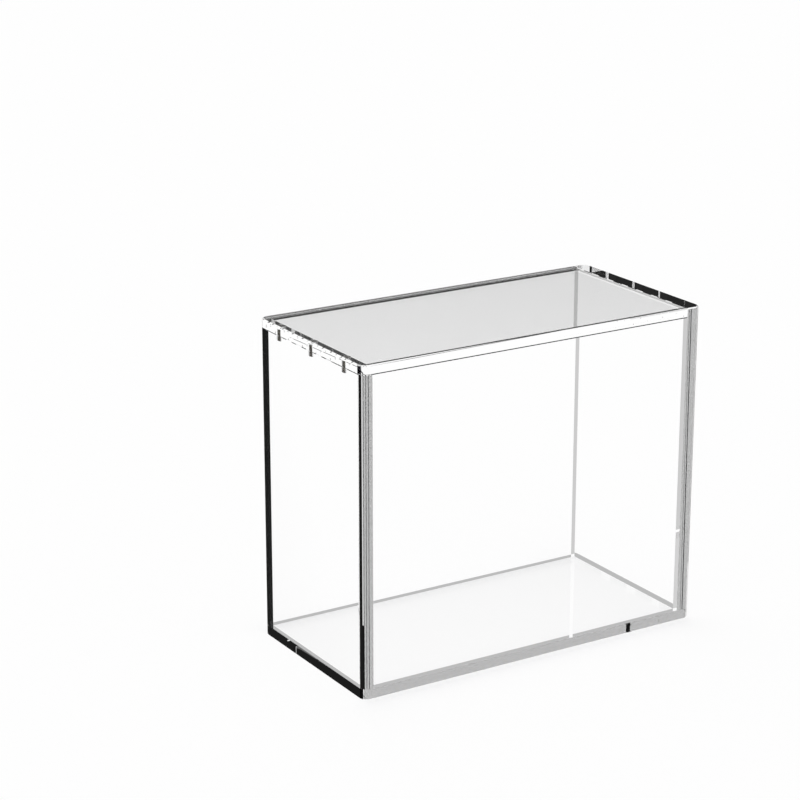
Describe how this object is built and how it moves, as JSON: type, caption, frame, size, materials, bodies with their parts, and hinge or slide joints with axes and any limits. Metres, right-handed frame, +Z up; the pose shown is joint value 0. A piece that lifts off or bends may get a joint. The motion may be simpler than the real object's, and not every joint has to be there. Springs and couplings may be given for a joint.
{
  "type": "trading card display case",
  "caption": "Clear acrylic display case for an upright boxed set of trading cards, with a loose lid held down by disc magnets.",
  "frame": {"origin": "centre of the underside", "axes": "+Z up; +X along the case's width, towards the wall that the lid butts against; the front faces -Y"},
  "size_m": [0.211, 0.105, 0.179],
  "materials": {
    "acrylic": "clear cast sheet with polished edges",
    "magnet": "nickel plated"
  },
  "bodies": {
    "case": {"base_panel": "acrylic", "left_panel": "acrylic", "right_panel": "acrylic", "front_panel": "acrylic", "back_panel": "acrylic", "wall_magnet_front": "magnet", "wall_magnet_middle": "magnet", "wall_magnet_rear": "magnet"},
    "lid": {"lid_panel": "acrylic", "lid_magnet_front": "magnet", "lid_magnet_middle": "magnet", "lid_magnet_rear": "magnet"}
  },
  "joints": [
    {"name": "lid_lift", "type": "slide", "parent": "case", "child": "lid", "axis": [0, 0, 1], "range_m": [0, 0.12]}
  ]
}
